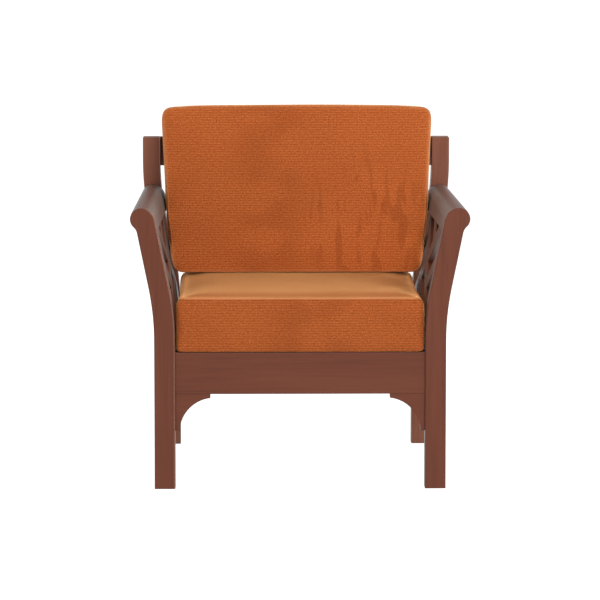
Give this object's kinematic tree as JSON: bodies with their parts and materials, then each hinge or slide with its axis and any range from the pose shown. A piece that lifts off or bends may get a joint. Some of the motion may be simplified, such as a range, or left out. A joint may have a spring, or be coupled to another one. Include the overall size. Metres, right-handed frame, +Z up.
{
  "type": "single-seat sofa",
  "caption": "Wooden-framed single-seat sofa with flared scroll arms, open diagonal arm lattice, a deep seat cushion and a loose back cushion.",
  "frame": {"origin": "on the floor at the middle of the object's footprint box", "axes": "+Z up, the open front of the seat faces -Y, +X to the right as seen from the front"},
  "size_m": [0.759, 0.7, 0.8275],
  "materials": {
    "wood": "satin",
    "upholstery": "matte",
    "foam": "matte",
    "screw_steel": "satin"
  },
  "bodies": {
    "frame": {"arm_bar_back_left": "wood", "arm_bar_back_right": "wood", "arm_bar_bottom_left": "wood", "arm_bar_bottom_right": "wood", "arm_bar_falling_left": "wood", "arm_bar_falling_right": "wood", "arm_bar_front_left": "wood", "arm_bar_front_right": "wood", "arm_bar_rising_left": "wood", "arm_bar_rising_right": "wood", "arm_bar_top_left": "wood", "arm_bar_top_right": "wood", "arm_rail_left": "wood", "arm_rail_right": "wood", "back_low_rail": "wood", "back_post_left": "wood", "back_post_right": "wood", "back_slat_1": "wood", "back_slat_2": "wood", "back_slat_3": "wood", "back_slat_4": "wood", "back_slat_5": "wood", "cleat_screws": "screw_steel", "corner_block_back_left": "wood", "corner_block_back_right": "wood", "corner_block_front_left": "wood", "corner_block_front_right": "wood", "crest_rail": "wood", "deck_cleat_left": "wood", "deck_cleat_right": "wood", "deck_screws": "screw_steel", "deck_slat_1": "wood", "deck_slat_2": "wood", "deck_slat_3": "wood", "deck_slat_4": "wood", "deck_slat_5": "wood", "deck_slat_6": "wood", "deck_slat_7": "wood", "front_apron": "wood", "front_bracket_left": "wood", "front_bracket_right": "wood", "front_post_left": "wood", "front_post_right": "wood", "rear_apron": "wood", "side_rail_left": "wood", "side_rail_right": "wood"},
    "seat_cushion": {"seat_cushion_cover": "upholstery", "seat_cushion_core": "foam"},
    "back_cushion": {"back_cushion_cover": "upholstery", "back_cushion_core": "foam"}
  },
  "joints": [
    {"name": "seat_cushion_lift", "type": "slide", "parent": "frame", "child": "seat_cushion", "axis": [0, 0, 1], "range_m": [0, 0.35]},
    {"name": "back_cushion_lift", "type": "slide", "parent": "seat_cushion", "child": "back_cushion", "axis": [0, 0, 1], "range_m": [0, 0.33]}
  ]
}
